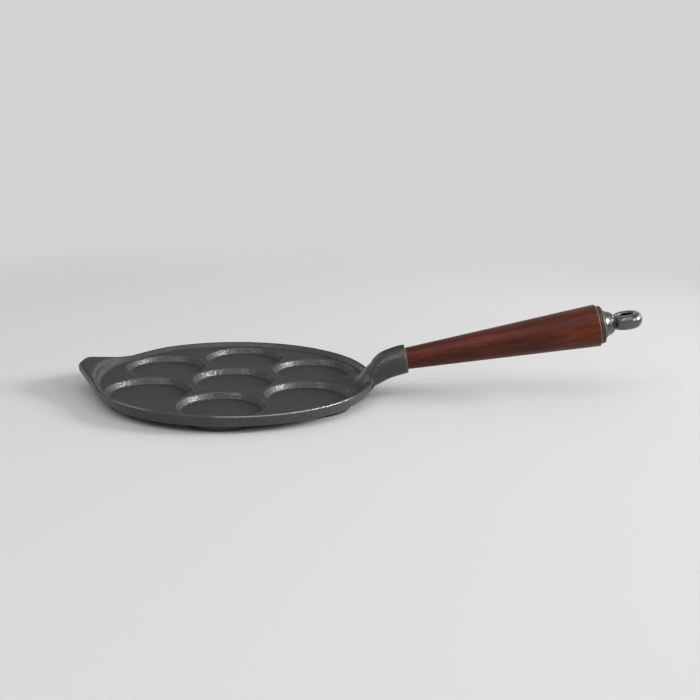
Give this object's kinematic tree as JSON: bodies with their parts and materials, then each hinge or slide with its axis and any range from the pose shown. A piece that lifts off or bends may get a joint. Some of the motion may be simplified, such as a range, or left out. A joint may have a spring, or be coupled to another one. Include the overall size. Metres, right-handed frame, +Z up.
{
  "type": "blini pan",
  "caption": "Round cast iron pan with shallow wells for small pancakes, a lifting lug and a turned wooden handle that ends in a hanging eye.",
  "frame": {"origin": "centre of the disc, on the plane that the pan rests on", "axes": "+Z up out of the wells, +X along the plan from the disc's centre to the handle, +Y to the left of the handle"},
  "size_m": [0.4597, 0.23, 0.0797],
  "materials": {
    "cast_iron": "sand-cast and blackened, slightly rough",
    "lacquered_wood": "stained dark red-brown and lacquered, satin",
    "blackened_steel": "dark brown-black, satin",
    "polished_steel": "polished",
    "plain_steel": "drawn, with a cut thread"
  },
  "bodies": {
    "pan": {"pan_casting": "cast_iron"},
    "grip": {"wood_grip": "lacquered_wood", "end_washer": "blackened_steel"},
    "eye_bolt": {"hanging_eye": "polished_steel", "tie_rod": "plain_steel"}
  },
  "joints": [
    {"name": "handle_withdraw", "type": "slide", "parent": "pan", "child": "grip", "axis": [0.9794, 0, 0.2019], "range_m": [0, 0.014]},
    {"name": "eye_turn", "type": "hinge", "parent": "grip", "child": "eye_bolt", "pos_m": [0.1419, 0, 0.0314], "axis": [0.9794, 0, 0.2019], "range_deg": [0, 4035]}
  ],
  "couplings": [
    {"joint": "eye_turn", "follows": "handle_withdraw", "rad_per_m": 5026.5}
  ]
}
